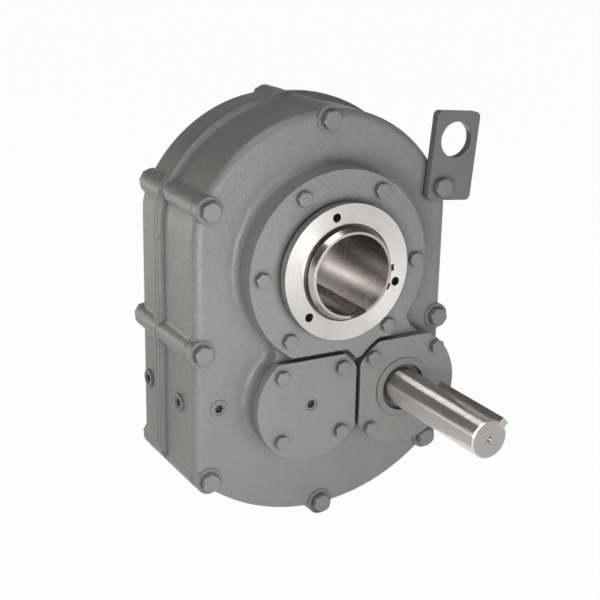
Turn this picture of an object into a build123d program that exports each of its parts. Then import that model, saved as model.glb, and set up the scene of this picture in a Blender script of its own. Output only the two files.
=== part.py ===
"""Shaft mount reducer: a double-reduction gearbox that hangs on the shaft it drives.

Millimetres, +Z up. The origin is on the output axis, halfway along the output bore.
The front, which carries the input shaft's free end, faces -Y.
"""
from build123d import *
from math import acos, atan2, cos, hypot, pi, radians, sin, sqrt, tan
import os

os.makedirs("parts", exist_ok=True)

# Housing casting
housing_depth = 145.0  # front face to rear face
wall = 10.0  # thickness of the cast walls
half_width = 154.5  # outside of the straight side walls
arch_margin = 9.5  # the top arc's radius, round the output axis, is half the width and this
foot_margin = 59.0  # the bottom arc's radius is half the width and this
bottom_centre_z = -77.5  # height of the bottom arc's centre
shoulder_radius = 60.0  # rounded corner between a side wall and the top arc
foot_radius = 20.0  # rounded corner between a side wall and the bottom arc
front_edge_fillet = 10.0
rear_edge_fillet = 12.0
edge_margin = 2.0  # the blends beside the columns stop this far short of the rounded edge
parting_depth = 88.0  # front face to the parting joint
gasket_thickness = 1.0
lip_width = 6.0  # the joint lip stands this far out of the walls
lip_depth = 5.0  # thickness of the lip on each half
lip_fillet = 5.5  # hollow curve between the lip and the wall
rib_radius = 15.0  # the rounded column round each housing bolt
rib_blend = 7.0  # fillet where a column leaves the wall
end_relief = 0.3  # a column's end is this much smaller than the stretch with the blends
spot_height = 1.5  # the columns' ends stand this far out of the faces

# Raised bearing platform on each face, and the flanges that bolt to it
platform_height = 21.0
platform_fillet = 8.0
left_corner = 20.0  # hollow curve between the output boss and the countershaft pad
lower_corner = 12.0
right_corner = 30.0
flange_thickness = 10.0
boss_radius = 107.0  # round the output hub
flange_gap = 5.0  # groove between neighbouring flanges
flange_corner = 6.0

# Shaft positions seen from the front
countershaft_x = -31.0
countershaft_z = -148.4
input_x = 86.2
input_z = -148.4

# Housing bolts: each is placed from the outside of the casting
top_bolt_inset = 10.1
shoulder_bolt_inset = 16.3
shoulder_bolt_z = 70.6
waist_bolt_inset = 7.6
waist_bolt_z = -82.7
foot_bolt_inset = 15.6
foot_bolt_drop = 5.0  # below the end of the side wall
bottom_bolt_inset = 6.5
housing_bolt_radius = 6.35
housing_head_width = 19.05
housing_head_height = 8.0
housing_nut_height = 11.1
bolt_tail = 3.0  # thread showing past the nut
bolt_clearance = 0.4
dowel_radius = 3.175
dowel_length = 20.0
dowel_inset = 5.0  # outside of the wall to a dowel's axis
dowel_heights = (-20.0, -150.0)  # left one, right one

# Cover and carrier bolts
cover_bolt_radius = 4.76
cover_head_width = 14.29
cover_head_height = 6.0
cover_bolt_reach = 16.0  # thread length in the casting
tap_runout = 2.0  # the tapped hole goes this much deeper
thread_clearance = 0.1
carrier_pitch_radius = 93.3
carrier_bolt_angles = (0, 60, 120, 180, -49, -130)
countershaft_cover_radius = 65.5
countershaft_cover_reach = 51.4  # cover centre up to its flat top edge
countershaft_cover_side = 55.7  # cover centre to its flat right edge
countershaft_bolt_offset = 37.0
input_cover_radius = 67.0
input_cover_reach = 58.9  # its left edge follows the countershaft cover's right edge
input_bolt_offset = 42.0
pad_inset = 2.5  # the platform is this much smaller than the round covers

# Output hub, its bearings and what rides on it
hub_reach = 11.2  # collar face to the hub's end
bore_radius = 43.8
hub_nose_radius = 46.6
hub_nose_length = 6.0
collar_seat_radius = 49.8
output_seal_radius = 51.0
output_bearing_bore = 52.5
output_bearing_outer = 72.5
output_bearing_width = 25.0
gear_seat_step = 5.5  # the gear's seat over the bearings' seats
hub_shoulder_step = 6.0  # the shoulder over the gear's seat
spacer_wall = 3.5
hub_keyway_width = 19.05
hub_keyway_depth = 5.0
hub_keyway_angle = -79.0
collar_radius = 74.2
collar_thickness = 10.0
collar_reach = 14.9  # seal carrier's face to the collar's outer face
collar_recess_radius = 52.75
collar_recess_depth = 5.0
collar_hole_radius = 4.8
collar_hole_pitch = 62.3
collar_hole_angle = 103.8
ring_thickness = 2.5
ring_groove_depth = 1.6
ring_outer_radius = 52.3
ring_ear_reach = 57.0
ring_ear_angles = (-1.5, -23.0)
ring_ear_width = 6.0
ear_clearance = 0.5
fit_gap = 0.05  # radial gap of parts that slide together on one shaft
running_gap = 0.06  # radial gap of a seal lip on its shaft

# Seals
output_seal_outer = 66.0
output_seal_inner_case = 58.0
output_seal_width = 9.0
input_seal_outer = 34.5
input_seal_inner_case = 27.0
input_seal_width = 9.0
seal_lip_width = 3.0
seal_proud = 1.0

# Countershaft and input shaft
countershaft_bearing_bore = 20.0
countershaft_bearing_outer = 40.0
input_bearing_bore = 22.5
input_bearing_outer = 42.5
small_bearing_width = 24.0
countershaft_gear_seat = 24.0
countershaft_collar_radius = 29.0
input_body_radius = 25.5
input_shaft_radius = 21.43
input_shaft_reach = 160.3  # input cover's face to the shaft's end
input_key_width = 9.525
input_key_length = 111.0
input_key_angle = 43.0
key_proud = 4.76  # keys stand this far out of their shafts
key_sink = 4.76
centre_hole_radius = 3.2
centre_hole_depth = 9.0
shaft_chamfer = 1.5
bearing_setback = 2.0  # flange seat to the bearing

# Gears
pressure_angle = 25.0
backlash = 0.24
output_gear_teeth = 62
countershaft_pinion_teeth = 14
countershaft_gear_teeth = 44
input_pinion_teeth = 14
output_gear_gap = 5.0  # inside of the front wall to the output gear
output_gear_width = 46.0
pinion_overhang = 2.0  # a pinion is this much longer than its gear at each end
countershaft_gear_gap = 11.0  # inside of the rear wall to the countershaft gear
countershaft_gear_width = 34.0
gear_rim = 12.0  # rim left under the teeth
web_thickness = 14.0
gear_hub_wall = 14.0
web_holes = 6
web_hole_radius = 13.0
gear_key_width = 22.0
gear_key_height = 11.0
small_key_width = 12.0
small_key_height = 8.0

# Bearing rollers
roller_tilt = 12.0
roller_share = 0.21  # roller radius as a share of the bearing's radial height
output_roller_count = 14
small_roller_count = 10
roller_gap = 0.08

# Pipe plugs
plug_radius = 7.0
plug_length = 9.0
plug_sink = 0.8
plug_socket_width = 8.6
plug_socket_depth = 6.0
plug_spot_radius = 10.0
plug_spot_height = 1.0  # on the front face
side_spot_height = 2.5  # on the side walls
face_plug_inset = 27.8  # outside of the left wall to the plug
face_plug_z = -148.0
side_plug_depth = 40.0  # front face to the side plugs in the front half
side_plug_z = -150.0
rear_plug_depth = 122.8  # front face to the side plugs in the rear half
rear_plug_z = -151.0

# Lifting and torque bracket under the right shoulder bolt
plate_width = 56.0
plate_height = 98.0
plate_thickness = 9.5
plate_corner = 6.0
plate_lean = 5.2  # degrees clockwise seen from the front
plate_bolt_side = 16.3  # bolt to the plate's left edge
plate_bolt_rise = 14.8  # bolt to the plate's lower edge
plate_hole_radius = 19.9
plate_hole_rise = 52.4  # bolt to the big hole

# Depths worked out from the sizes above
front_face = -housing_depth / 2
rear_face = housing_depth / 2
parting = front_face + parting_depth
gasket_front = parting - gasket_thickness / 2
gasket_rear = parting + gasket_thickness / 2
front_seat = front_face - platform_height
rear_seat = rear_face + platform_height
flange_face = rear_seat + flange_thickness  # distance of each flange's outer face
cavity_front = front_face + wall
cavity_rear = rear_face - wall
collar_face = flange_face + collar_reach
hub_end = collar_face + hub_reach
input_shaft_end = -flange_face - input_shaft_reach
output_gear_front = cavity_front + output_gear_gap
countershaft_gear_front = cavity_rear - countershaft_gear_gap - countershaft_gear_width
gear_seat_radius = output_bearing_bore + gear_seat_step
hub_shoulder_radius = gear_seat_radius + hub_shoulder_step
spot_front = front_face - spot_height
spot_rear = rear_face + spot_height
output_bearing_outer_end = rear_seat - bearing_setback
output_bearing_inner_end = output_bearing_outer_end - output_bearing_width
small_bearing_inner_end = output_bearing_outer_end - small_bearing_width

# Places round the casting worked out from its outline
top_radius = half_width + arch_margin
bottom_radius = half_width + foot_margin
side_top_z = sqrt(top_radius**2 - half_width**2)
side_bottom_z = bottom_centre_z - sqrt(bottom_radius**2 - half_width**2)
top_bolt_z = top_radius - top_bolt_inset
shoulder_bolt_x = half_width - shoulder_bolt_inset
waist_bolt_x = half_width - waist_bolt_inset
foot_bolt_x = half_width - foot_bolt_inset
foot_bolt_z = side_bottom_z - foot_bolt_drop
bottom_bolt_z = bottom_centre_z - bottom_radius + bottom_bolt_inset
face_plug = (face_plug_inset - half_width, face_plug_z)

countershaft = (countershaft_x, countershaft_z)
input_axis = (input_x, input_z)
output_axis = (0.0, 0.0)
housing_bolts_xz = (
    (0.0, top_bolt_z),
    (-shoulder_bolt_x, shoulder_bolt_z),
    (shoulder_bolt_x, shoulder_bolt_z),
    (-waist_bolt_x, waist_bolt_z),
    (waist_bolt_x, waist_bolt_z),
    (-foot_bolt_x, foot_bolt_z),
    (foot_bolt_x, foot_bolt_z),
    (0.0, bottom_bolt_z),
)
countershaft_bolts_xz = [
    (countershaft_x + i * countershaft_bolt_offset, countershaft_z + j * countershaft_bolt_offset)
    for i in (-1, 1)
    for j in (-1, 1)
]
input_bolts_xz = [
    (input_x + i * input_bolt_offset, input_z + j * input_bolt_offset)
    for i in (-1, 1)
    for j in (-1, 1)
]
carrier_bolts_xz = [
    (carrier_pitch_radius * cos(radians(a)), carrier_pitch_radius * sin(radians(a)))
    for a in carrier_bolt_angles
]
output_distance = hypot(countershaft_x, countershaft_z)
input_distance = hypot(input_x - countershaft_x, input_z - countershaft_z)
output_module = 2 * output_distance / (output_gear_teeth + countershaft_pinion_teeth)
input_module = 2 * input_distance / (countershaft_gear_teeth + input_pinion_teeth)


def at(depth, centre=(0.0, 0.0)):
    """The sketch plane at a depth, seen from the front; it extrudes towards the front."""
    return Plane(origin=(centre[0], depth, centre[1]), x_dir=(1, 0, 0), z_dir=(0, -1, 0))


def along(centre):
    """The plane through a shaft's axis: x is the radius, y the depth."""
    return Plane(origin=(centre[0], 0, centre[1]), x_dir=(1, 0, 0), z_dir=(0, 0, 1))


def axis_of(centre):
    """A shaft's own axis, parallel to the output axis."""
    return Axis((centre[0], 0, centre[1]), (0, 1, 0))


def finish(piece, label):
    """Label a finished piece and write it to its file."""
    piece.part.label = label
    export_step(piece.part, f"parts/{label}.step")


# Outlines shared by the castings and the gasket
with BuildSketch() as shell_outline:
    with BuildLine():
        ThreePointArc((half_width, side_top_z), (0, top_radius), (-half_width, side_top_z))
        Line((-half_width, side_top_z), (-half_width, side_bottom_z))
        ThreePointArc(
            (-half_width, side_bottom_z),
            (0, bottom_centre_z - bottom_radius),
            (half_width, side_bottom_z),
        )
        Line((half_width, side_bottom_z), (half_width, side_top_z))
    make_face()
    fillet(shell_outline.vertices().group_by(Axis.Y)[-1], radius=shoulder_radius)
    fillet(shell_outline.vertices().group_by(Axis.Y)[0], radius=foot_radius)

with BuildSketch() as column_outline:
    add(shell_outline.sketch)
    with Locations(*housing_bolts_xz):
        Circle(rib_radius)
    open_corners = column_outline.vertices().filter_by(
        lambda corner: abs(corner.X) < shoulder_bolt_x + rib_radius / 2
        or abs(corner.Y - waist_bolt_z) < rib_radius
    )
    fillet(open_corners, radius=rib_blend)

with BuildSketch() as lip_outline:
    offset(shell_outline.sketch, amount=lip_width, kind=Kind.INTERSECTION)

with BuildSketch() as flange_outline:
    add(lip_outline.sketch)
    with Locations(*housing_bolts_xz):
        Circle(rib_radius)

with BuildSketch() as cavity_outline:
    offset(shell_outline.sketch, amount=-wall, kind=Kind.INTERSECTION)
    with Locations(*housing_bolts_xz):
        Circle(rib_radius, mode=Mode.SUBTRACT)

# The platform: three round pads, with a hollow curve of its own radius between each two
pads = (
    (output_axis, boss_radius),
    (countershaft, countershaft_cover_radius - pad_inset),
    (input_axis, input_cover_radius - pad_inset),
)
corner_radii = (left_corner, lower_corner, right_corner)


def blend_centre(first, second, radius):
    """Centre of the circle that touches two pads from outside, on the second's clockwise side."""
    (ax, az), a_radius = first
    (bx, bz), b_radius = second
    span = hypot(bx - ax, bz - az)
    near = a_radius + radius
    far = b_radius + radius
    run = (near**2 - far**2 + span**2) / (2 * span)
    rise = sqrt(near**2 - run**2)
    ux, uz = (bx - ax) / span, (bz - az) / span
    return (ax + run * ux + rise * uz, az + run * uz - rise * ux)


with BuildSketch() as platform_outline:
    with BuildLine():
        Polyline(output_axis, countershaft, input_axis, close=True)
    make_face()
    for start, corner_radius in enumerate(corner_radii):
        first, second = pads[start], pads[(start + 1) % 3]
        centre = blend_centre(first, second, corner_radius)
        with BuildLine():
            Polyline(first[0], second[0], centre, close=True)
        make_face()
        with Locations(centre):
            Circle(corner_radius, mode=Mode.SUBTRACT)
    for centre, pad_radius in pads:
        with Locations(centre):
            Circle(pad_radius)

# Covers and the output carrier share the platform, so each outline clears the next
with BuildSketch() as countershaft_cover_outline:
    with Locations(countershaft):
        Circle(countershaft_cover_radius)
    with Locations((countershaft_x, countershaft_z + countershaft_cover_reach)):
        Rectangle(
            4 * countershaft_cover_radius,
            2 * countershaft_cover_radius,
            align=(Align.CENTER, Align.MIN),
            mode=Mode.SUBTRACT,
        )
    with Locations((countershaft_x + countershaft_cover_side, countershaft_z)):
        Rectangle(
            2 * countershaft_cover_radius,
            4 * countershaft_cover_radius,
            align=(Align.MIN, Align.CENTER),
            mode=Mode.SUBTRACT,
        )
    fillet(countershaft_cover_outline.vertices(), radius=flange_corner)

input_left = countershaft_x + countershaft_cover_side + flange_gap
input_top = input_z + input_cover_reach
with BuildSketch() as input_cover_outline:
    with Locations(input_axis):
        Circle(input_cover_radius)
    with Locations((input_left, input_top)):
        Rectangle(
            4 * input_cover_radius,
            2 * input_cover_radius,
            align=(Align.CENTER, Align.MIN),
            mode=Mode.SUBTRACT,
        )
        Rectangle(
            2 * input_cover_radius,
            4 * input_cover_radius,
            align=(Align.MAX, Align.CENTER),
            mode=Mode.SUBTRACT,
        )
    fillet(input_cover_outline.vertices(), radius=flange_corner)

with BuildSketch() as carrier_outline:
    Circle(boss_radius)
    for neighbour in (countershaft_cover_outline, input_cover_outline):
        offset(neighbour.sketch, amount=flange_gap, mode=Mode.SUBTRACT)



def columns(front, rear, radius=rib_radius):
    """Round columns on the housing bolts, between two depths."""
    with BuildSketch(at(rear)) as circles:
        with Locations(*housing_bolts_xz):
            Circle(radius)
    return extrude(circles.sketch, amount=rear - front, mode=Mode.PRIVATE)


def rod(centre, radius, front, rear):
    """A round bar along Y between two depths, made outside any piece."""
    with BuildSketch(at(rear, centre)) as circle:
        Circle(radius)
    return extrude(circle.sketch, amount=rear - front, mode=Mode.PRIVATE)


def hexagon(centre, width, front, rear):
    """A hexagon bar along Y between two depths, width across its flats."""
    with BuildSketch(at(rear, centre)) as outline:
        RegularPolygon(radius=width / 2, side_count=6, major_radius=False)
    return extrude(outline.sketch, amount=rear - front, mode=Mode.PRIVATE)


def side_rod(depth, height, radius, inner, outer, side):
    """A round bar along X on one side of the housing, side 1 for +X and -1 for -X."""
    with BuildSketch(Plane.YZ.offset(side * inner)) as circle:
        with Locations((depth, height)):
            Circle(radius)
    return extrude(circle.sketch, amount=side * (outer - inner), mode=Mode.PRIVATE)


# Pipe plugs in the two side walls of each half: depth and height
side_plugs = (
    (front_face + side_plug_depth, side_plug_z),
    (front_face + rear_plug_depth, rear_plug_z),
)
dowels_xz = (
    (dowel_inset - half_width, dowel_heights[0]),
    (half_width - dowel_inset, dowel_heights[1]),
)
dowel_rear = parting + dowel_length / 2
dowel_hole_radius = dowel_radius + thread_clearance
plug_hole_radius = plug_radius + thread_clearance

# Bores of the bearing platform, and the threaded holes round them
bearing_bores = (
    (output_axis, output_bearing_outer),
    (countershaft, countershaft_bearing_outer),
    (input_axis, input_bearing_outer),
)
threaded_xz = carrier_bolts_xz + countershaft_bolts_xz + input_bolts_xz
tap_radius = cover_bolt_radius + thread_clearance
tap_depth = cover_bolt_reach + tap_runout
through_radius = housing_bolt_radius + bolt_clearance

# Housing: two cast shells, joined by the bolts in their columns
def half_shell(joint, edge_fillet, plug_depth, plug_height):
    """One casting with its face to the front: walls, lip, platform, columns and holes."""
    blend_front = front_face + edge_fillet + edge_margin
    with BuildPart() as shell:
        with BuildSketch(at(joint)):
            add(shell_outline.sketch)
        extrude(amount=joint - front_face)
        fillet(shell.faces().sort_by(Axis.Y)[0].edges(), radius=edge_fillet)
        with BuildSketch(at(joint)):
            add(lip_outline.sketch)
        extrude(amount=lip_depth)
        lip_face = shell.faces().filter_by(
            lambda face: abs(face.center().Y - joint + lip_depth) < end_relief
        )
        fillet(lip_face[0].inner_wires()[0].edges(), radius=lip_fillet)
        with BuildSketch(at(front_face + wall / 2)):
            add(platform_outline.sketch)
        extrude(amount=platform_height + wall / 2)
        platform_foot = shell.edges(Select.LAST).filter_by(
            lambda edge: edge.center().Y > front_seat + platform_height / 2
            and edge.bounding_box().size.Y < wall / 2
        )
        fillet(platform_foot, radius=platform_fillet)
        with BuildSketch(at(joint)):
            add(column_outline.sketch)
        extrude(amount=joint - blend_front)
        add(columns(spot_front, joint, rib_radius - end_relief))
        with BuildSketch(at(joint)):
            add(cavity_outline.sketch)
        extrude(amount=joint - cavity_front, mode=Mode.SUBTRACT)
        for centre, bore in bearing_bores:
            add(rod(centre, bore, front_seat, cavity_front), mode=Mode.SUBTRACT)
        for centre in threaded_xz:
            add(rod(centre, tap_radius, front_seat, front_seat + tap_depth), mode=Mode.SUBTRACT)
        add(columns(spot_front, joint, through_radius), mode=Mode.SUBTRACT)
        for centre in dowels_xz:
            add(rod(centre, dowel_hole_radius, joint - dowel_length / 2, joint), mode=Mode.SUBTRACT)
        inside = half_width - wall
        proud = half_width + side_spot_height
        for side in (-1, 1):
            add(side_rod(plug_depth, plug_height, plug_spot_radius, inside, proud, side))
            add(
                side_rod(plug_depth, plug_height, plug_hole_radius, inside, proud, side),
                mode=Mode.SUBTRACT,
            )
    return shell.part


with BuildPart() as front_housing:
    add(half_shell(gasket_front, front_edge_fillet, *side_plugs[0]))
    face_spot = front_face - plug_spot_height
    add(rod(face_plug, plug_spot_radius, face_spot, front_face + wall / 2))
    add(rod(face_plug, plug_hole_radius, face_spot, cavity_front), mode=Mode.SUBTRACT)
finish(front_housing, "front_housing")

with BuildPart() as rear_housing:
    rear_depth, rear_height = side_plugs[1]
    add(half_shell(-gasket_rear, rear_edge_fillet, -rear_depth, rear_height).mirror(Plane.XZ))
finish(rear_housing, "rear_housing")

with BuildPart() as parting_gasket:
    with BuildSketch(at(gasket_rear)):
        add(flange_outline.sketch)
        add(cavity_outline.sketch, mode=Mode.SUBTRACT)
        with Locations(*housing_bolts_xz):
            Circle(through_radius, mode=Mode.SUBTRACT)
        with Locations(*dowels_xz):
            Circle(dowel_hole_radius, mode=Mode.SUBTRACT)
    extrude(amount=gasket_thickness)
finish(parting_gasket, "parting_gasket")

with BuildPart() as dowel_pins:
    with BuildSketch(at(dowel_rear)):
        with Locations(*dowels_xz):
            Circle(dowel_radius)
    extrude(amount=dowel_length)
finish(dowel_pins, "dowel_pins")

# Fasteners of the housing: one long bolt also clamps the bracket
bolt_end = spot_rear + housing_nut_height + bolt_tail
with BuildPart() as housing_bolts:
    for centre in housing_bolts_xz:
        under_head = spot_front
        if centre == (shoulder_bolt_x, shoulder_bolt_z):
            under_head = spot_front - plate_thickness
        add(rod(centre, housing_bolt_radius, under_head, bolt_end))
        add(hexagon(centre, housing_head_width, under_head - housing_head_height, under_head))
finish(housing_bolts, "housing_bolts")

with BuildPart() as housing_nuts:
    for centre in housing_bolts_xz:
        add(hexagon(centre, housing_head_width, spot_rear, spot_rear + housing_nut_height))
        add(
            rod(centre, housing_bolt_radius + thread_clearance, spot_rear, spot_rear + housing_nut_height),
            mode=Mode.SUBTRACT,
        )
finish(housing_nuts, "housing_nuts")

with BuildPart() as bracket_plate:
    with BuildSketch(at(spot_front, (shoulder_bolt_x, shoulder_bolt_z)) * Rotation(0, 0, -plate_lean)):
        with Locations((-plate_bolt_side, -plate_bolt_rise)):
            plate = Rectangle(plate_width, plate_height, align=(Align.MIN, Align.MIN))
        fillet(plate.vertices(), radius=plate_corner)
        with Locations((plate_width / 2 - plate_bolt_side, plate_hole_rise)):
            Circle(plate_hole_radius, mode=Mode.SUBTRACT)
        Circle(through_radius, mode=Mode.SUBTRACT)
    extrude(amount=plate_thickness)
finish(bracket_plate, "bracket_plate")


# Flanged covers: each is bolted to the platform, with a short spigot in its bearing bore
def flange(outline, centre, bore, bolts_xz):
    """A front cover: its flange, its spigot and its bolt holes."""
    with BuildPart() as blank:
        with BuildSketch(at(front_seat)):
            add(outline.sketch)
            with Locations(*bolts_xz):
                Circle(cover_bolt_radius + bolt_clearance, mode=Mode.SUBTRACT)
        extrude(amount=flange_thickness)
        with BuildSketch(at(-output_bearing_outer_end, centre)):
            Circle(bore)
        extrude(amount=bearing_setback)
    return blank.part


def bolts(bolts_xz):
    """Hexagon bolts through the front flanges into the platform."""
    with BuildPart() as group:
        for centre in bolts_xz:
            add(rod(centre, cover_bolt_radius, -flange_face, front_seat + cover_bolt_reach))
            add(hexagon(centre, cover_head_width, -flange_face - cover_head_height, -flange_face))
    return group.part


carrier_blank = flange(carrier_outline, output_axis, output_bearing_outer, carrier_bolts_xz)
countershaft_blank = flange(
    countershaft_cover_outline, countershaft, countershaft_bearing_outer, countershaft_bolts_xz
)
input_blank = flange(input_cover_outline, input_axis, input_bearing_outer, input_bolts_xz)

with BuildPart() as front_seal_carrier:
    add(carrier_blank)
    add(
        rod(output_axis, output_seal_outer, -flange_face, output_seal_width - flange_face),
        mode=Mode.SUBTRACT,
    )
    add(
        rod(output_axis, output_seal_inner_case, -flange_face, -output_bearing_outer_end),
        mode=Mode.SUBTRACT,
    )
finish(front_seal_carrier, "front_seal_carrier")

with BuildPart() as front_countershaft_cover:
    add(countershaft_blank)
    add(
        rod(countershaft, plug_hole_radius, -flange_face, -output_bearing_outer_end),
        mode=Mode.SUBTRACT,
    )
finish(front_countershaft_cover, "front_countershaft_cover")

input_seal_front = -flange_face - seal_proud
input_seal_rear = input_seal_front + input_seal_width
with BuildPart() as front_input_cover:
    add(input_blank)
    add(rod(input_axis, input_seal_outer, -flange_face, input_seal_rear), mode=Mode.SUBTRACT)
    add(
        rod(input_axis, input_seal_inner_case, -flange_face, -output_bearing_outer_end),
        mode=Mode.SUBTRACT,
    )
finish(front_input_cover, "front_input_cover")

mirrored = {
    "rear_seal_carrier": front_seal_carrier.part,
    "rear_countershaft_cover": countershaft_blank,
    "rear_input_cover": input_blank,
}
for label, front_piece in mirrored.items():
    with BuildPart() as rear_flange:
        add(front_piece.mirror(Plane.XZ))
    finish(rear_flange, label)

fastener_groups = {
    "carrier_bolts": carrier_bolts_xz,
    "cover_bolts": countershaft_bolts_xz + input_bolts_xz,
}
for label, places in fastener_groups.items():
    with BuildPart() as front_bolts:
        add(bolts(places))
    finish(front_bolts, f"front_{label}")
    with BuildPart() as rear_bolts:
        add(bolts(places).mirror(Plane.XZ))
    finish(rear_bolts, f"rear_{label}")


# Seals: a case pressed into its bore, and a lip that runs on the shaft
def seal_ring(centre, outer, case, shaft_radius, front, rear):
    """A lip seal turned about its shaft, open to the front."""
    lip = shaft_radius + running_gap
    with BuildPart() as ring:
        with BuildSketch(along(centre)):
            with BuildLine():
                Polyline(
                    (case, front),
                    (outer, front),
                    (outer, rear),
                    (lip, rear),
                    (lip, rear - seal_lip_width),
                    (case, rear - seal_lip_width),
                    close=True,
                )
            make_face()
        revolve(axis=axis_of(centre))
    return ring.part


output_seal_front = -flange_face
output_seal_rear = output_seal_front + output_seal_width
output_ring = seal_ring(
    output_axis,
    output_seal_outer,
    output_seal_inner_case,
    output_seal_radius,
    output_seal_front,
    output_seal_rear,
)
with BuildPart() as front_output_seal:
    add(output_ring)
finish(front_output_seal, "front_output_seal")

with BuildPart() as rear_output_seal:
    add(output_ring.mirror(Plane.XZ))
finish(rear_output_seal, "rear_output_seal")

with BuildPart() as input_seal:
    add(
        seal_ring(
            input_axis,
            input_seal_outer,
            input_seal_inner_case,
            input_shaft_radius,
            input_seal_front,
            input_seal_rear,
        )
    )
finish(input_seal, "input_seal")

# Pipe plugs with hexagon sockets, each sunk a little in its hole
with BuildPart() as face_plugs:
    for centre, face in ((face_plug, front_face - plug_spot_height), (countershaft, -flange_face)):
        top = face + plug_sink
        add(rod(centre, plug_radius, top, top + plug_length))
        add(hexagon(centre, plug_socket_width, top, top + plug_socket_depth), mode=Mode.SUBTRACT)
finish(face_plugs, "face_plugs")

with BuildPart() as wall_plugs:
    for depth, height in side_plugs:
        top = half_width + side_spot_height - plug_sink
        for side in (-1, 1):
            add(side_rod(depth, height, plug_radius, top - plug_length, top, side))
            with BuildSketch(Plane.YZ.offset(side * top)) as socket:
                with Locations((depth, height)):
                    RegularPolygon(radius=plug_socket_width / 2, side_count=6, major_radius=False)
            extrude(socket.sketch, amount=-side * plug_socket_depth, mode=Mode.SUBTRACT)
finish(wall_plugs, "wall_plugs")


# Tapered roller bearings: cup in the casting, cone and rollers on the shaft
def tapered_bearing(label, centre, bore, outer, width, count):
    """The front and rear bearing of one shaft, each with its cup, cone and rollers."""
    tilt = radians(roller_tilt)
    roller_radius = roller_share * (outer - bore)
    roller_length = width / 2
    front = -output_bearing_outer_end
    rear = front + width
    middle = (front + rear) / 2
    middle_radius = (outer + bore) / 2
    race = roller_radius / cos(tilt) + roller_gap
    rib = middle + roller_length / 2 * cos(tilt) + roller_radius * sin(tilt) + roller_gap

    def path(depth):
        """Distance of the roller's axis from the shaft's axis at a depth."""
        return middle_radius + (depth - middle) * tan(tilt)

    cup_end = rear - width / 6
    cone_end = front + width / 8
    with BuildPart() as cup:
        with BuildSketch(along(centre)):
            with BuildLine():
                Polyline(
                    (outer, front),
                    (outer, cup_end),
                    (path(cup_end) + race, cup_end),
                    (path(front) + race, front),
                    close=True,
                )
            make_face()
        revolve(axis=axis_of(centre))
    with BuildPart() as cone:
        with BuildSketch(along(centre)):
            with BuildLine():
                Polyline(
                    (bore + fit_gap, cone_end),
                    (path(cone_end) - race, cone_end),
                    (path(rib) - race, rib),
                    (path(rib), rib),
                    (path(rib), rear),
                    (bore + fit_gap, rear),
                    close=True,
                )
            make_face()
        revolve(axis=axis_of(centre))
    with BuildPart(at(middle, centre)) as rollers:
        with PolarLocations(middle_radius, count):
            Cylinder(roller_radius, roller_length, rotation=(0, -roller_tilt, 0))
    for piece, name in ((cup, "cup"), (cone, "cone"), (rollers, "rollers")):
        finish(piece, f"{label}_{name}_front")
        with BuildPart() as rear_piece:
            add(piece.part.mirror(Plane.XZ))
        finish(rear_piece, f"{label}_{name}_rear")


tapered_bearing(
    "output_bearing",
    output_axis,
    output_bearing_bore,
    output_bearing_outer,
    output_bearing_width,
    output_roller_count,
)
tapered_bearing(
    "countershaft_bearing",
    countershaft,
    countershaft_bearing_bore,
    countershaft_bearing_outer,
    small_bearing_width,
    small_roller_count,
)
tapered_bearing(
    "input_bearing",
    input_axis,
    input_bearing_bore,
    input_bearing_outer,
    small_bearing_width,
    small_roller_count,
)


# Gears: involute flanks worked out from the teeth, the module and the pressure angle
def involute(angle):
    """How far an involute has turned where its pressure angle is this."""
    return tan(angle) - angle


def tooth_outline(teeth, module, first_tooth):
    """Points round a gear, with one tooth centred on first_tooth, an angle in radians."""
    pitch = teeth * module / 2
    base = pitch * cos(radians(pressure_angle))
    tip = pitch + 0.95 * module
    root = pitch - 1.2 * module
    start = max(root, base)
    half_at_pitch = pi / (2 * teeth) - backlash / (4 * pitch)

    def half_angle(radius):
        """Half of the tooth's angle at a radius, from the involute's definition."""
        turned = involute(acos(min(1.0, base / radius)))
        return half_at_pitch + involute(radians(pressure_angle)) - turned

    flank = [start, (2 * start + tip) / 3, (start + 2 * tip) / 3, tip]
    rising = [(root, half_angle(start))] + [(radius, half_angle(radius)) for radius in flank]
    if root >= base:
        rising = rising[1:]
    points = []
    for tooth in range(teeth):
        middle = first_tooth + 2 * pi * tooth / teeth
        for radius, half in rising:
            points.append((radius * cos(middle - half), radius * sin(middle - half)))
        for radius, half in reversed(rising):
            points.append((radius * cos(middle + half), radius * sin(middle + half)))
    return points


def gear_blank(centre, teeth, module, first_tooth, front, width):
    """A toothed disc between two depths."""
    with BuildPart() as disc:
        with BuildSketch(at(front + width, centre)):
            with BuildLine():
                Polyline(*tooth_outline(teeth, module, first_tooth), close=True)
            make_face()
        extrude(amount=width)
    return disc.part


def key_block(centre, width, low, high, front, rear, angle=90.0):
    """A rectangular key or keyway lying on a shaft, between two radii and two depths."""
    with BuildSketch(at(rear, centre) * Rotation(0, 0, angle)) as section:
        with Locations((low, 0)):
            Rectangle(high - low, width, align=(Align.MIN, Align.CENTER))
    return extrude(section.sketch, amount=rear - front, mode=Mode.PRIVATE)


def webbed_gear(blank, centre, teeth, module, seat, front, width, key_width, key_height):
    """Bore, keyway, side pockets and web holes of a gear."""
    rear = front + width
    rim = teeth * module / 2 - 1.2 * module - gear_rim
    hub = seat + gear_hub_wall
    pocket = (width - web_thickness) / 2
    with BuildPart() as gear:
        add(blank)
        for near, far in ((front, front + pocket), (rear - pocket, rear)):
            ring = rod(centre, rim, near, far) - rod(centre, hub, near, far)
            add(ring, mode=Mode.SUBTRACT)
        with BuildSketch(at(rear, centre)):
            Circle(seat + fit_gap)
            with PolarLocations((rim + hub) / 2, web_holes):
                Circle(web_hole_radius)
        extrude(amount=width, mode=Mode.SUBTRACT)
        add(
            key_block(centre, key_width, 0, seat + key_height / 2 + fit_gap, front, rear),
            mode=Mode.SUBTRACT,
        )
    return gear.part


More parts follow.
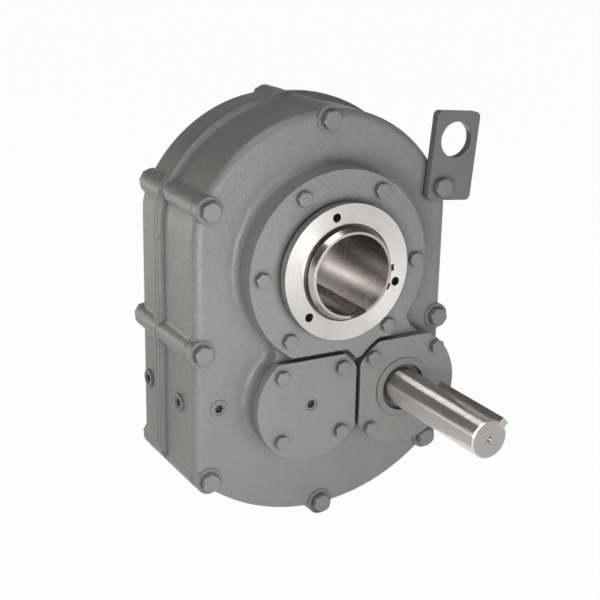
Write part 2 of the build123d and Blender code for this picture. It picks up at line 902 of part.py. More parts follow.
mesh_angle = atan2(countershaft_z, countershaft_x)
second_mesh_angle = atan2(input_z - countershaft_z, input_x - countershaft_x)
output_gear_rear = output_gear_front + output_gear_width
countershaft_gear_rear = countershaft_gear_front + countershaft_gear_width
gear_key_sink = gear_key_height / 2
small_key_sink = small_key_height / 2

# What turns with the output hub
hub_half_profile = [
    (hub_nose_radius, hub_end),
    (collar_seat_radius, hub_end - hub_nose_length),
]
ring_outer_depth = collar_face - collar_recess_depth + ring_thickness
ring_inner_depth = collar_face - collar_recess_depth
groove_radius = collar_seat_radius - ring_groove_depth
collar_back = collar_face - collar_thickness
hub_half_profile += [
    (collar_seat_radius, ring_outer_depth),
    (groove_radius, ring_outer_depth),
    (groove_radius, ring_inner_depth),
    (collar_seat_radius, ring_inner_depth),
    (collar_seat_radius, collar_back),
    (output_seal_radius, collar_back),
    (output_seal_radius, output_bearing_outer_end),
    (output_bearing_bore, output_bearing_outer_end),
]
with BuildPart() as output_hub:
    with BuildSketch(along(output_axis)):
        with BuildLine():
            Polyline(
                (bore_radius, -hub_end),
                *[(radius, -depth) for radius, depth in hub_half_profile],
                (output_bearing_bore, -output_bearing_inner_end),
                (hub_shoulder_radius, -output_bearing_inner_end),
                (hub_shoulder_radius, output_gear_front),
                (gear_seat_radius, output_gear_front),
                (gear_seat_radius, output_gear_rear),
                (output_bearing_bore, output_gear_rear),
                *reversed(hub_half_profile),
                (bore_radius, hub_end),
                close=True,
            )
        make_face()
    revolve(axis=Axis.Y)
    add(
        key_block(
            output_axis,
            hub_keyway_width,
            0,
            bore_radius + hub_keyway_depth,
            -hub_end,
            hub_end,
            hub_keyway_angle,
        ),
        mode=Mode.SUBTRACT,
    )
    add(
        key_block(
            output_axis,
            gear_key_width,
            gear_seat_radius - gear_key_sink,
            gear_seat_radius + gear_key_sink,
            output_gear_front,
            output_gear_rear,
        ),
        mode=Mode.SUBTRACT,
    )
finish(output_hub, "output_hub")

with BuildPart() as output_gear:
    add(
        webbed_gear(
            gear_blank(
                output_axis,
                output_gear_teeth,
                output_module,
                mesh_angle,
                output_gear_front,
                output_gear_width,
            ),
            output_axis,
            output_gear_teeth,
            output_module,
            gear_seat_radius,
            output_gear_front,
            output_gear_width,
            gear_key_width,
            gear_key_height,
        )
    )
finish(output_gear, "output_gear")

with BuildPart() as output_gear_key:
    add(
        key_block(
            output_axis,
            gear_key_width,
            gear_seat_radius - gear_key_sink,
            gear_seat_radius + gear_key_sink,
            output_gear_front,
            output_gear_rear,
        )
    )
finish(output_gear_key, "output_gear_key")

with BuildPart() as output_gear_spacer:
    with BuildSketch(at(output_bearing_inner_end)):
        Circle(output_bearing_bore + spacer_wall)
        Circle(output_bearing_bore + fit_gap, mode=Mode.SUBTRACT)
    extrude(amount=output_bearing_inner_end - output_gear_rear)
finish(output_gear_spacer, "output_gear_spacer")

ear_reach = ring_ear_reach - groove_radius
with BuildPart() as front_collar:
    with BuildSketch(at(-collar_back)):
        Circle(collar_radius)
        Circle(collar_seat_radius + fit_gap, mode=Mode.SUBTRACT)
        with PolarLocations(collar_hole_pitch, 3, start_angle=collar_hole_angle):
            Circle(collar_hole_radius, mode=Mode.SUBTRACT)
    extrude(amount=collar_thickness)
    add(rod(output_axis, collar_recess_radius, -collar_face, -ring_inner_depth), mode=Mode.SUBTRACT)
    for angle in ring_ear_angles:
        add(
            key_block(
                output_axis,
                ring_ear_width + 2 * ear_clearance,
                groove_radius,
                ring_ear_reach + ear_clearance,
                -collar_face,
                -ring_inner_depth,
                angle,
            ),
            mode=Mode.SUBTRACT,
        )
finish(front_collar, "front_collar")

with BuildPart() as front_retaining_ring:
    with BuildSketch(at(-ring_inner_depth)):
        Circle(ring_outer_radius)
        for angle in ring_ear_angles:
            with Locations(Rotation(0, 0, angle)):
                with Locations((groove_radius, 0)):
                    Rectangle(ear_reach, ring_ear_width, align=(Align.MIN, Align.CENTER))
        Circle(groove_radius + fit_gap, mode=Mode.SUBTRACT)
        with Locations(Rotation(0, 0, sum(ring_ear_angles) / 2)):
            with Locations((groove_radius, 0)):
                Rectangle(3 * ring_ear_width, 2 * ring_ear_width, mode=Mode.SUBTRACT)
    extrude(amount=ring_thickness)
finish(front_retaining_ring, "front_retaining_ring")

for label, front_piece in (("collar", front_collar), ("retaining_ring", front_retaining_ring)):
    with BuildPart() as rear_piece:
        add(front_piece.part.mirror(Plane.XZ))
    finish(rear_piece, f"rear_{label}")

# What turns with the countershaft
pinion_front = output_gear_front - pinion_overhang
pinion_rear = output_gear_rear + pinion_overhang
with BuildPart() as countershaft_pinion:
    with BuildSketch(along(countershaft)):
        with BuildLine():
            Polyline(
                (0, -output_bearing_outer_end),
                (countershaft_bearing_bore, -output_bearing_outer_end),
                (countershaft_bearing_bore, -small_bearing_inner_end),
                (countershaft_gear_seat, -small_bearing_inner_end),
                (countershaft_gear_seat, pinion_rear),
                (countershaft_collar_radius, pinion_rear),
                (countershaft_collar_radius, countershaft_gear_front),
                (countershaft_gear_seat, countershaft_gear_front),
                (countershaft_gear_seat, countershaft_gear_rear),
                (countershaft_bearing_bore, countershaft_gear_rear),
                (countershaft_bearing_bore, output_bearing_outer_end),
                (0, output_bearing_outer_end),
                close=True,
            )
        make_face()
    revolve(axis=axis_of(countershaft))
    add(
        gear_blank(
            countershaft,
            countershaft_pinion_teeth,
            output_module,
            mesh_angle + pi + pi / countershaft_pinion_teeth,
            pinion_front,
            pinion_rear - pinion_front,
        )
    )
    add(
        key_block(
            countershaft,
            small_key_width,
            countershaft_gear_seat - small_key_sink,
            countershaft_gear_seat + small_key_sink,
            countershaft_gear_front,
            countershaft_gear_rear,
        ),
        mode=Mode.SUBTRACT,
    )
finish(countershaft_pinion, "countershaft_pinion")

with BuildPart() as countershaft_gear:
    add(
        webbed_gear(
            gear_blank(
                countershaft,
                countershaft_gear_teeth,
                input_module,
                second_mesh_angle,
                countershaft_gear_front,
                countershaft_gear_width,
            ),
            countershaft,
            countershaft_gear_teeth,
            input_module,
            countershaft_gear_seat,
            countershaft_gear_front,
            countershaft_gear_width,
            small_key_width,
            small_key_height,
        )
    )
finish(countershaft_gear, "countershaft_gear")

with BuildPart() as countershaft_gear_key:
    add(
        key_block(
            countershaft,
            small_key_width,
            countershaft_gear_seat - small_key_sink,
            countershaft_gear_seat + small_key_sink,
            countershaft_gear_front,
            countershaft_gear_rear,
        )
    )
finish(countershaft_gear_key, "countershaft_gear_key")

with BuildPart() as countershaft_spacer:
    with BuildSketch(at(small_bearing_inner_end, countershaft)):
        Circle(countershaft_gear_seat + small_key_sink)
        Circle(countershaft_bearing_bore + fit_gap, mode=Mode.SUBTRACT)
    extrude(amount=small_bearing_inner_end - countershaft_gear_rear)
finish(countershaft_spacer, "countershaft_spacer")

# What turns with the input shaft
input_pinion_front = countershaft_gear_front - pinion_overhang
input_pinion_rear = countershaft_gear_rear + pinion_overhang
key_rear = input_shaft_end + input_key_length
with BuildPart() as input_shaft:
    with BuildSketch(along(input_axis)):
        with BuildLine():
            Polyline(
                (0, input_shaft_end),
                (input_shaft_radius - shaft_chamfer, input_shaft_end),
                (input_shaft_radius, input_shaft_end + shaft_chamfer),
                (input_shaft_radius, -output_bearing_outer_end),
                (input_bearing_bore, -output_bearing_outer_end),
                (input_bearing_bore, -small_bearing_inner_end),
                (input_body_radius, -small_bearing_inner_end),
                (input_body_radius, small_bearing_inner_end),
                (input_bearing_bore, small_bearing_inner_end),
                (input_bearing_bore, output_bearing_outer_end),
                (0, output_bearing_outer_end),
                close=True,
            )
        make_face()
    revolve(axis=axis_of(input_axis))
    input_neck = rod(input_axis, 2 * input_body_radius, input_pinion_front, input_pinion_rear)
    add(input_neck, mode=Mode.SUBTRACT)
    add(
        gear_blank(
            input_axis,
            input_pinion_teeth,
            input_module,
            second_mesh_angle + pi + pi / input_pinion_teeth,
            input_pinion_front,
            input_pinion_rear - input_pinion_front,
        )
    )
    add(
        key_block(
            input_axis,
            input_key_width,
            input_shaft_radius - key_sink,
            2 * input_shaft_radius,
            input_shaft_end,
            key_rear,
            input_key_angle,
        ),
        mode=Mode.SUBTRACT,
    )
    add(
        rod(input_axis, centre_hole_radius, input_shaft_end, input_shaft_end + centre_hole_depth),
        mode=Mode.SUBTRACT,
    )
finish(input_shaft, "input_shaft")

with BuildPart() as input_key:
    add(
        key_block(
            input_axis,
            input_key_width,
            input_shaft_radius - key_sink,
            input_shaft_radius + key_proud,
            input_shaft_end,
            key_rear,
            input_key_angle,
        )
    )
finish(input_key, "input_key")
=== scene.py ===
# %% [markdown]
# # A shaft mount reducer, dressed for a studio picture
#
# The solids of this gearbox come finished from the CAD step: two iron castings bolted together, the flanges
# of its three shafts, a hollow output hub and a keyed input shaft. Blender's work is what CAD leaves out:
# forged bolt heads, paint over cast iron, turned and ground steel, light, and the camera. The frame is
# loaded first, and it is never moved.

# %% The frame
from math import cos, pi, radians, sin

import bmesh
import bpy
import numpy as np
from mathutils import Matrix, Vector


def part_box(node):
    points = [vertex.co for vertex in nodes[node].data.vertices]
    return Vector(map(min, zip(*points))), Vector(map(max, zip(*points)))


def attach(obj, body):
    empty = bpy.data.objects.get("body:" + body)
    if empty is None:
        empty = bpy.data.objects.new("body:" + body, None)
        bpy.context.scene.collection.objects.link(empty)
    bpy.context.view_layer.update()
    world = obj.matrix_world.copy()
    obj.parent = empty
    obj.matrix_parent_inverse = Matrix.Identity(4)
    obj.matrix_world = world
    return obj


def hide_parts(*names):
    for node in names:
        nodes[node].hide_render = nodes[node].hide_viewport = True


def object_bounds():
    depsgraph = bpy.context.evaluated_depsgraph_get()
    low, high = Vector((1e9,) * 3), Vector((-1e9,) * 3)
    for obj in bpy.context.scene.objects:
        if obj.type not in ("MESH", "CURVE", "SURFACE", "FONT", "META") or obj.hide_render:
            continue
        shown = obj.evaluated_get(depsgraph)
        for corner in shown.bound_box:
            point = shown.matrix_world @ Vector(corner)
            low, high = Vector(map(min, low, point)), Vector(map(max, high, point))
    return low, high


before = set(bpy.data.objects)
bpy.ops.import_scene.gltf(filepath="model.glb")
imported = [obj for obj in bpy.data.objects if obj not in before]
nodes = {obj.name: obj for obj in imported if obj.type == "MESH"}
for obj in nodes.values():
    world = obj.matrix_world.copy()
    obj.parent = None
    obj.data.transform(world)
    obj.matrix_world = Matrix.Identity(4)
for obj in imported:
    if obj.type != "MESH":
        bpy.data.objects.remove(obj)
cad_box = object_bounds()

# %% [markdown]
# ## The camera
#
# The photograph was taken from the left and above with a long lens. Its camera was found by fitting the
# centres of the bolts, the rims of the hub and the shaft's end to their places in the picture. The result
# is a place, an aim, a small roll and a lens. The picture is cropped a little off the lens's centre, which
# is what a camera's shift is for.

# %% Camera
azimuth, elevation, roll = radians(-28.2846), radians(18.3384), radians(0.8771)
aim = Vector((-0.06096, -0.0725, -0.03910))
reach = 1.40134
picture = 600
focal_pixels = 1319.82
optical_centre = (274.98, 303.65)

backward = Vector((sin(azimuth) * cos(elevation), -cos(azimuth) * cos(elevation), sin(elevation)))
level = Vector((cos(azimuth), sin(azimuth), 0))
upright = backward.cross(level)
right = cos(roll) * level + sin(roll) * upright
up = cos(roll) * upright - sin(roll) * level

camera_data = bpy.data.cameras.new("camera")
camera_data.sensor_width = 36
camera_data.lens = 36 * focal_pixels / picture
camera_data.shift_x = (picture / 2 - optical_centre[0]) / picture
camera_data.shift_y = (optical_centre[1] - picture / 2) / picture
camera_data.clip_end = 50
camera = bpy.data.objects.new("camera", camera_data)
camera.matrix_world = Matrix.Translation(aim + reach * backward) @ Matrix(
    (right, up, backward)).transposed().to_4x4()
bpy.context.scene.collection.objects.link(camera)
bpy.context.scene.camera = camera
bpy.context.scene.view_settings.view_transform = "Standard"
print("lens in mm:", round(camera_data.lens, 2))

# %% [markdown]
# ## Writing materials as arithmetic
#
# A material is arithmetic on patterns: more of this where that is high. Wiring it by hand hides the sums,
# so a small class wraps a socket and lets Python's own operators add the Math nodes. Every other kind of
# node comes from one method, which takes the node's type, its settings and what its sockets hold.


# %% The class for numbers and the class for finishes
class Number:
    """A number that changes over a surface; an operator on it adds a Math node."""

    def __init__(self, finish, socket):
        self.finish = finish
        self.socket = socket

    def _maths(self, operation, first, second):
        return self.finish.node("ShaderNodeMath", {"operation": operation}, {0: first, 1: second})

    def __add__(self, other):
        return self._maths("ADD", self, other)

    def __radd__(self, other):
        return self._maths("ADD", other, self)

    def __sub__(self, other):
        return self._maths("SUBTRACT", self, other)

    def __mul__(self, other):
        return self._maths("MULTIPLY", self, other)

    def __rmul__(self, other):
        return self._maths("MULTIPLY", other, self)

    def atleast(self, other):
        return self._maths("MAXIMUM", self, other)


class Shading:
    """A node tree, with one way to add any node and the patterns that several finishes share."""

    def __init__(self, tree):
        self.tree = tree

    def put(self, socket, value):
        if isinstance(value, Number):
            self.tree.links.new(value.socket, socket)
        else:
            socket.default_value = value

    def node(self, kind, settings=None, values=None, output=0):
        """Adds a node: its settings first, then a value or a link for each named socket."""
        made = self.tree.nodes.new(kind)
        for key, value in (settings or {}).items():
            setattr(made, key, value)
        for socket, value in (values or {}).items():
            self.put(made.inputs[socket], value)
        return Number(self, made.outputs[output])

    def place(self):
        """The point on the piece, in metres from the output axis."""
        return self.node("ShaderNodeTexCoord", output="Object")

    def noise(self, size, detail=2.0, rough=0.5, at=None):
        """Noise whose blotches are about this many metres across."""
        where = at or self.place()
        return self.node("ShaderNodeTexNoise", values={
            "Vector": where, "Scale": 1 / size, "Detail": detail, "Roughness": rough})

    def blend(self, share, first, second):
        """A colour between two colours."""
        return self.node("ShaderNodeMix", {"data_type": "RGBA"}, {0: share, 6: first, 7: second}, output=2)

    def spread(self, value, low, high, start=0.0, end=1.0):
        """Carries low to start and high to end, and stops there."""
        return self.node("ShaderNodeMapRange", {"clamp": True}, {
            "Value": value, "From Min": low, "From Max": high, "To Min": start, "To Max": end})

    def relief(self, height, depth, over=None):
        """Bumps of a height from 0 to 1, this many metres deep."""
        values = {"Height": height, "Distance": depth, "Strength": 1.0}
        if over is not None:
            values["Normal"] = over
        return self.node("ShaderNodeBump", values=values)

    def vector(self, operation, first, second=(0, 0, 0)):
        return self.node("ShaderNodeVectorMath", {"operation": operation}, {0: first, 1: second})

    def rounded(self, radius):
        """The normal of the surface, as if its edges were rounded off."""
        return self.node("ShaderNodeBevel", {"samples": 6}, {"Radius": radius})

    def crevices(self, reach, deepest):
        """An occlusion factor for painted shade: 1 on open surfaces, down to deepest where something stands
        closer than reach all round.
        """
        open_sky = self.node("ShaderNodeAmbientOcclusion", {"samples": 8}, {"Distance": reach}, output="AO")
        return self.spread(open_sky, 0.25, 0.90, deepest, 1.0)

    def seen_directly(self):
        """1 for a ray from the camera, from a glossy reflection or through glass; otherwise 0."""
        kinds = [self.node("ShaderNodeLightPath", output=kind)
                 for kind in ("Is Camera Ray", "Is Glossy Ray", "Is Transmission Ray")]
        return kinds[0].atleast(kinds[1]).atleast(kinds[2])


class Finish(Shading):
    """One material: its node tree and its main shader."""

    def __init__(self, name, **constants):
        self.material = bpy.data.materials.new(name)
        self.material.use_nodes = True
        super().__init__(self.material.node_tree)
        self.tree.nodes.clear()
        self.shader = self.tree.nodes.new("ShaderNodeBsdfPrincipled")
        self.output = self.tree.nodes.new("ShaderNodeOutputMaterial")
        self.tree.links.new(self.shader.outputs[0], self.output.inputs["Surface"])
        for socket, value in constants.items():
            self.feed(socket.replace("_", " "), value)

    def feed(self, socket, value):
        self.put(self.shader.inputs[socket], value)


def dress(finish, *names):
    """Puts a finish on CAD nodes, through their own material slots."""
    for name in names:
        piece = nodes[name]
        if not piece.material_slots:
            piece.data.materials.append(finish.material)
        for slot in piece.material_slots:
            slot.material = finish.material


# %% [markdown]
# ## Satin grey enamel over cast iron
#
# The castings, their flanges and every bolt were sprayed in one go. Thick enamel rounds the edges and keeps
# the skin of the sand mould as a faint grain. The rounding is a Bevel node's, and the CAD mesh is left as it
# is. Three sizes of noise make the skin: swells a centimetre or so apart, waves a few millimetres apart, and
# the grain of the sand. A fourth, broader still, varies the shade and the gloss. Where a surface is shut in,
# round the bolt heads, in the sockets of the plugs and along the steps, the colour is darkened: painted
# shade.


# %% Enamel
# How far the painted shade in crevices reaches, and how dark it gets there.
painted_shade_reach = 0.012
painted_shade_darkest = 0.20


def enamel(name, shade, peel, grain, gloss, edge):
    """Grey paint: its colour, how deep its ripples and its grain are in metres, and its roughness."""
    paint = Finish(name, Metallic=0.0, IOR=1.5)
    fine = paint.noise(0.0013, detail=2.0, rough=0.6)
    ripple = paint.noise(0.0036, detail=2.0, rough=0.55)
    swell = paint.noise(0.014, detail=1.0)
    cloud = paint.noise(0.045, detail=2.0)
    tone = 0.91 + 0.09 * paint.spread(cloud, 0.3, 0.7) + 0.09 * paint.spread(ripple, 0.3, 0.7)
    # Painted shade: the colour is darkened where an occlusion test finds something close all round.
    painted_shade_factor = paint.crevices(painted_shade_reach, painted_shade_darkest)
    paint.feed("Base Color", paint.blend(tone * painted_shade_factor, (0, 0, 0, 1), (*shade, 1)))
    paint.feed("Roughness", gloss + 0.08 * (fine - 0.5) + 0.10 * (cloud - 0.5))
    soft = paint.rounded(edge)
    swelling = paint.relief(swell, 1.4 * peel, over=soft)
    rippled = paint.relief(ripple, peel, over=swelling)
    paint.feed("Normal", paint.relief(fine, grain, over=rippled))
    return paint


casting_paint = enamel("casting_paint", (0.218, 0.220, 0.216), 0.00070, 0.00024, 0.38, 0.0012)
hardware_paint = enamel("hardware_paint", (0.205, 0.208, 0.205), 0.00018, 0.00009, 0.35, 0.0006)
plate_paint = enamel("plate_paint", (0.160, 0.163, 0.164), 0.00003, 0.00002, 0.36, 0.0009)
dress(casting_paint, "front_housing", "rear_housing", "front_seal_carrier", "rear_seal_carrier",
      "front_countershaft_cover", "rear_countershaft_cover", "front_input_cover", "rear_input_cover")
dress(hardware_paint, "face_plugs", "wall_plugs", "input_seal")
dress(plate_paint, "bracket_plate")

# %% [markdown]
# ## Steel, turned and ground
#
# A lathe or a grinder leaves fine grooves round the axis. Each groove leans the surface to and fro across
# itself, and never along itself, so a lamp's reflection is drawn out into a band along a shaft, or into a
# fan on a flat face. The grooves are far finer than a pixel, so no picture of them is drawn: each point
# leans by a chance amount, across the way round the axis, and many points together make the band. Coarser
# marks, which the eye does find, are rings of roughness and shade: a noise of the radius and the depth.


# %% Steel
def radial(metal, centre):
    """The vector from an axis along Y to the point, square to the axis."""
    offset = metal.vector("SUBTRACT", metal.place(), (centre[0], 0, centre[1]))
    return metal.vector("MULTIPLY", offset, (1, 0, 1))


def lean_across(metal, centre, lean, normal):
    """Normal plus chance times lean times the direction square to it and to the way round the axis."""
    way_round = metal.node("ShaderNodeVectorTransform", {"convert_from": "OBJECT", "convert_to": "WORLD"},
                           {0: metal.vector("CROSS_PRODUCT", (0, 1, 0), radial(metal, centre))})
    across = metal.vector("CROSS_PRODUCT", normal, metal.vector("NORMALIZE", way_round))
    chance = metal.node("ShaderNodeTexWhiteNoise", values={"Vector": metal.place()})
    leaned = metal.node("ShaderNodeVectorMath", {"operation": "SCALE"}, {
        0: across, 3: (chance - 0.5) * (2 * lean)})
    return metal.vector("NORMALIZE", metal.vector("ADD", normal, leaned))


def rings(metal, centre, pitch):
    """Noise of the radius from an axis along Y and of the depth, the same all the way round."""
    radius = metal.node("ShaderNodeVectorMath", {"operation": "LENGTH"}, {0: radial(metal, centre)},
                        output="Value")
    depth = metal.node("ShaderNodeSeparateXYZ", values={0: metal.place()}, output="Y")
    return metal.noise(pitch, at=metal.node("ShaderNodeCombineXYZ", values={0: radius, 1: depth}))


ring_pitch = 0.0016
steel_edge = 0.0004


def steel(name, shade, roughness, centre, lean, face_lean_and_painted_shade=(0.05, 1.0)):
    """Bare steel. lean is for walls along the axis; the last argument is the lean of faces square to it and
    a painted shade that darkens their colour.
    """
    metal = Finish(name, Metallic=1.0)
    normal = metal.rounded(steel_edge)
    along = metal.node("ShaderNodeSeparateXYZ", values={0: normal}, output="Y")
    face = metal.spread(along * along, 0.6, 0.95)
    marks = metal.spread(rings(metal, centre, ring_pitch), 0.3, 0.7)
    patch = metal.spread(metal.noise(0.018, detail=3.0), 0.3, 0.7)
    face_lean, face_painted_shade = face_lean_and_painted_shade
    # Painted shade: faces square to the axis get a darker colour, so that their reflections read darker.
    tone = (0.88 + 0.06 * marks + 0.06 * patch) * (1 + face * (face_painted_shade - 1))
    metal.feed("Base Color", metal.blend(tone, (0, 0, 0, 1), (*shade, 1)))
    metal.feed("Roughness", roughness + 0.04 * (marks - 0.5) + 0.05 * (patch - 0.5))
    metal.feed("Normal", lean_across(metal, centre, lean + face * (face_lean - lean), normal))
    return metal


output_axis = (0.0, 0.0)
countershaft_axis = (-0.031, -0.1484)
input_axis = (0.0862, -0.1484)

# For faces square to the axis the second number is a painted shade: the shaft's end face is darkened to 0.54
# of its colour and the hub's nose to 0.7.
collar_steel = steel("collar_steel", (0.50, 0.49, 0.48), 0.24, output_axis, 0.1, face_lean_and_painted_shade=(0.22, 1.0))
shaft_steel = steel("shaft_steel", (0.78, 0.75, 0.72), 0.14, input_axis, 0.75, face_lean_and_painted_shade=(0.04, 0.54))
key_steel = steel("key_steel", (0.50, 0.46, 0.43), 0.30, input_axis, 0.05)
hub_iron = steel("hub_iron", (0.50, 0.47, 0.455), 0.25, output_axis, 0.04, face_lean_and_painted_shade=(0.05, 0.7))
ring_steel = steel("ring_steel", (0.12, 0.10, 0.09), 0.38, output_axis, 0.05)
gear_steel = steel("gear_steel", (0.42, 0.41, 0.40), 0.38, output_axis, 0.05)
bearing_steel = steel("bearing_steel", (0.62, 0.62, 0.62), 0.22, output_axis, 0.05)
dress(collar_steel, "front_collar", "rear_collar")
dress(shaft_steel, "input_shaft")
dress(key_steel, "input_key")
dress(hub_iron, "output_hub")
dress(ring_steel, "front_retaining_ring", "rear_retaining_ring")
dress(gear_steel, "output_gear", "countershaft_gear", "countershaft_pinion")
dress(bearing_steel, *[name for name in nodes if "bearing" in name or name.endswith(("spacer", "gear_key"))],
      "dowel_pins")

# %% [markdown]
# ## Rubber and the joint's gasket
#
# The seal behind the collar is a black rubber lip, and a thin fibre sheet lies between the castings.
# Neither shows much, but both are dull and almost black, which is what makes the gaps round them read as
# gaps.


# %% Rubber and fibre
def dull(name, shade, roughness, size, depth):
    """A soft dark material with a fine surface."""
    soft = Finish(name, Metallic=0.0)
    fine = soft.noise(size, detail=3.0)
    dark = tuple(0.75 * c for c in shade) + (1,)
    soft.feed("Base Color", soft.blend(fine, dark, (*shade, 1)))
    soft.feed("Roughness", roughness + 0.1 * (fine - 0.5))
    soft.feed("Normal", soft.relief(fine, depth))
    return soft


rubber = dull("rubber", (0.035, 0.034, 0.033), 0.55, 0.0012, 0.00003)
fibre = dull("fibre", (0.06, 0.06, 0.06), 0.85, 0.0006, 0.00005)
dress(rubber, "front_output_seal", "rear_output_seal")
dress(fibre, "parting_gasket")

# %% [markdown]
# ## Bolt heads as one surface each
#
# A forged hexagon head is a hexagon only lower down. Its top was turned at thirty degrees, so each flat
# ends in an arc and the corners never reach the top. That is one formula: at every angle and height the
# radius is the smaller of the hexagon's and the cone's. The head, its washer face and the shank are rows of
# one grid.


# %% Surfaces of revolution with six flats
def hexagon(angle, width):
    """Distance from the centre to a hexagon's edge: half the width over cos(angle from a flat)."""
    sector = np.mod(angle + pi / 6, pi / 3) - pi / 6
    return width / 2 / np.cos(sector)


def fastener_rows(width, height, shank, length):
    """Rows from the top down: (height over the seat, cap on the radius, 1 where the hexagon counts)."""
    top = 0.96 * width / 2
    bevel = [0.0, 0.15, 0.3, 0.5, 0.7, 0.9, 1.15]
    slope = 1 / np.tan(radians(30))
    chamfer = width * 0.075
    rows = [(height, top * 0.5, 0)]
    rows += [(height - chamfer * step, top + slope * chamfer * step, 1) for step in bevel]
    washer_face = 0.95 * width / 2
    rows += [(0.0009, width, 1), (0.0006, width, 1), (0.0006, washer_face, 0), (0.0, washer_face, 0),
             (0.0, shank, 0), (-length, shank, 0)]
    return np.array(rows)


def closed_grid(name, points, poles):
    """A mesh of points[piece, row, column]: columns join up, and each end row closes on its pole."""
    pieces, rows, columns = points.shape[:3]
    body = np.arange(pieces * rows * columns).reshape(pieces, rows, columns)
    turned = np.roll(body, -1, axis=2)
    quads = np.stack([body[:, :-1], turned[:, :-1], turned[:, 1:], body[:, 1:]], axis=-1).reshape(-1, 4)
    faces = quads.tolist()
    tips = body.size + np.arange(pieces * 2).reshape(pieces, 2, 1)
    for end, row in ((0, 0), (1, -1)):
        tip = np.broadcast_to(tips[:, end], (pieces, columns))
        fans = np.stack([body[:, row], turned[:, row], tip], axis=-1).reshape(-1, 3)
        faces += fans.tolist()
    coordinates = np.concatenate([points.reshape(-1, 3), poles.reshape(-1, 3)])
    mesh = bpy.data.meshes.new(name)
    mesh.from_pydata(coordinates.tolist(), [], faces)
    tidy = bmesh.new()
    tidy.from_mesh(mesh)
    bmesh.ops.remove_doubles(tidy, verts=tidy.verts, dist=1e-7)
    bmesh.ops.recalc_face_normals(tidy, faces=tidy.faces)
    tidy.to_mesh(mesh)
    tidy.free()
    mesh.shade_smooth()
    mesh.set_sharp_from_angle(angle=radians(28))
    piece = bpy.data.objects.new(name, mesh)
    bpy.context.scene.collection.objects.link(piece)
    return piece


def fasteners(name, places, width, height, shank, length, outward, turns):
    """Bolts at (x, seat depth, z), turned about Y: radius(angle, row) = min(hexagon, cap)."""
    rows = fastener_rows(width, height, shank, length)
    angle = np.linspace(0, 2 * pi, 96, endpoint=False)
    reach = np.where(rows[:, 2:3] > 0, np.minimum(hexagon(angle, width), rows[:, 1:2]), rows[:, 1:2])
    places = np.array(places)
    turned = angle + np.array(turns)[:, None]
    points = np.empty((len(places), len(rows), len(angle), 3))
    points[..., 0] = places[:, 0, None, None] + reach * np.cos(turned)[:, None, :]
    points[..., 1] = places[:, 1, None, None] + outward * rows[None, :, :1]
    points[..., 2] = places[:, 2, None, None] + reach * np.sin(turned)[:, None, :]
    poles = np.repeat(places[:, None, :], 2, axis=1)
    poles[:, 0, 1] += outward * height
    poles[:, 1, 1] -= outward * length
    return closed_grid(name, points, poles)


# %% [markdown]
# ## Where the fasteners sit
#
# Eight long bolts hold the castings together from the front, with nuts behind. Six bolts hold each seal
# carrier and four hold each cover. No fitter lines heads up, so each gets a turn of its own, from a seeded
# generator that gives the same turns every run.

# %% Bolts and nuts
head, small_head, plate = 0.008, 0.006, 0.0095
bolt_width, bolt_radius = 0.01905, 0.00635
small_width, small_radius, small_length = 0.01429, 0.00476, 0.026
seat = -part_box("housing_bolts")[0][1] - head - plate
flange_face = -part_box("front_carrier_bolts")[0][1] - small_head
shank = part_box("housing_bolts")[1][1] + seat
housing_places = [(0.0, 0.1539), (-0.1382, 0.0706), (0.1382, 0.0706), (-0.1469, -0.0827), (0.1469, -0.0827),
                  (-0.1389, -0.2298), (0.1389, -0.2298), (0.0, -0.2845)]
carrier_places = [(0.0933 * cos(radians(a)), 0.0933 * sin(radians(a))) for a in (0, 60, 120, 180, -49, -130)]
cover_places = [(x + i * span, z + j * span)
                for (x, z), span in ((countershaft_axis, 0.037), (input_axis, 0.042))
                for i in (-1, 1) for j in (-1, 1)]
chance = np.random.default_rng(7)


def bolt_group(name, places, seats, width, height, shank, length, outward):
    """A group of like bolts that stands for the CAD node of the same name."""
    spots = [(x, depth, z) for (x, z), depth in zip(places, seats)]
    piece = fasteners(name + "_forged", spots, width, height, shank, length, outward,
                      chance.uniform(0, pi / 3, len(spots)))
    piece.data.materials.append(hardware_paint.material)
    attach(piece, "housing")
    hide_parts(name)
    print(name, len(spots))
    return piece


seats = [-seat] * 8
seats[2] -= plate
bolt_group("housing_bolts", housing_places, seats, bolt_width, head, bolt_radius, shank, -1)
for end, outward in (("front", -1), ("rear", 1)):
    for kind, places in (("_carrier_bolts", carrier_places), ("_cover_bolts", cover_places)):
        bolt_group(end + kind, places, [outward * flange_face] * len(places), small_width, small_head,
                   small_radius, small_length, outward)
dress(hardware_paint, "housing_nuts")

# %% [markdown]
# ## Floor, backdrop and light
#
# The picture has nothing but white behind the object. The floor is pale and plain, and to the camera it is
# mostly its own white, with enough real shading left to keep a soft shadow. Mirror-like steel sees the same
# white, but for a darker part high up that only reflections see, which gives the shaft its dark bands.
# Light comes from a few large soft lamps, so that a colour shows about as it is written.


# %% Floor
low = cad_box[0][2]
grid = np.linspace(-6, 6, 13)
along, across = np.meshgrid(grid, grid, indexing="ij")
floor_points = np.stack([along, across, np.full_like(along, low)], axis=-1).reshape(-1, 3)
index = np.arange(grid.size ** 2).reshape(grid.size, grid.size)
corners = [index[:-1, :-1], index[1:, :-1], index[1:, 1:], index[:-1, 1:]]
floor_faces = np.stack(corners, axis=-1).reshape(-1, 4)
floor_mesh = bpy.data.meshes.new("floor")
floor_mesh.from_pydata(floor_points.tolist(), [], floor_faces.tolist())
floor = bpy.data.objects.new("floor", floor_mesh)
bpy.context.scene.collection.objects.link(floor)

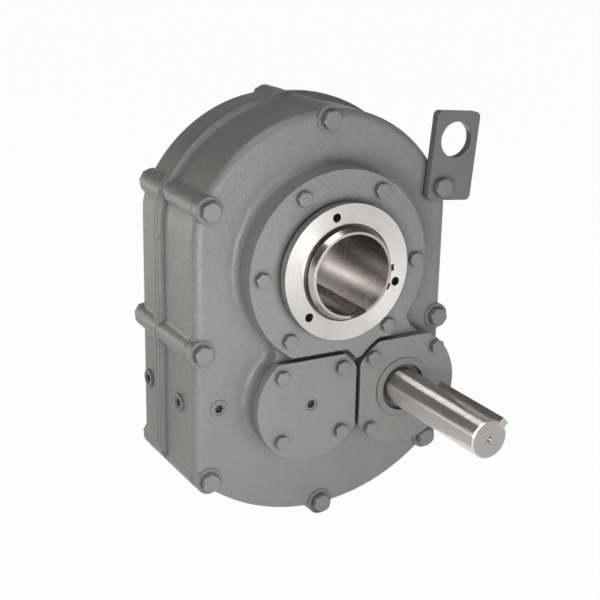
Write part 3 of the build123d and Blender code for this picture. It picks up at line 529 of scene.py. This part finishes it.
paper = Finish("paper", Base_Color=(0.75, 0.75, 0.75, 1), Roughness=0.9)
glow_share = 0.97
glow = paper.node("ShaderNodeEmission", values={"Color": (1, 1, 1, 1), "Strength": 1.0})
shown = paper.node("ShaderNodeMixShader", values={
    0: paper.seen_directly() * glow_share, 1: Number(paper, paper.shader.outputs[0]), 2: glow})
paper.put(paper.output.inputs["Surface"], shown)
floor_mesh.materials.append(paper.material)

# %% World
world = bpy.data.worlds.new("studio")
bpy.context.scene.world = world
world.use_nodes = True
studio = Shading(world.node_tree)
sky = studio.node("ShaderNodeSeparateXYZ", values={0: studio.node("ShaderNodeTexCoord", output="Generated")},
                  output="Z")
camera_ray = studio.node("ShaderNodeLightPath", output="Is Camera Ray")
backdrop = studio.spread(sky, 0.10, 0.30, 1.0, 0.12).atleast(camera_ray)
ambient = 0.04
background = world.node_tree.nodes["Background"]
background.inputs["Color"].default_value = (1, 1, 1, 1)
studio.put(background.inputs["Strength"], ambient + (backdrop - ambient) * studio.seen_directly())


# %% Lamps
centre = Vector((0, -0.05, -0.07))


def softbox(name, place, size, power, tint=(1, 1, 1)):
    """A square lamp at a place, aimed at the middle of the object; size in metres, power in watts."""
    data = bpy.data.lights.new(name, "AREA")
    data.shape = "SQUARE"
    data.size = size
    data.energy = power
    data.color = tint
    lamp = bpy.data.objects.new(name, data)
    turn = (centre - Vector(place)).to_track_quat("-Z", "Y").to_matrix().to_4x4()
    lamp.matrix_world = Matrix.Translation(place) @ turn
    lamp.visible_camera = False
    bpy.context.scene.collection.objects.link(lamp)
    return lamp


softbox("front", (0.05, -1.9, 0.20), 0.9, 10.0)
softbox("near_left", (-0.37, -0.60, -0.03), 0.26, 2.45)
softbox("near_right", (0.22, -0.78, -0.155), 0.26, 0.42)
softbox("left", (-1.78, 0.60, 0.12), 0.45, 1.9, (1.0, 0.97, 0.93))
softbox("rear_left", (-0.70, 0.80, -0.05), 0.45, 1.8, (1.0, 0.97, 0.93))
softbox("behind", (0.16, 0.54, -0.16), 0.2, 0.8)
softbox("overhead", (-0.35, -0.20, 1.8), 1.0, 12.5)
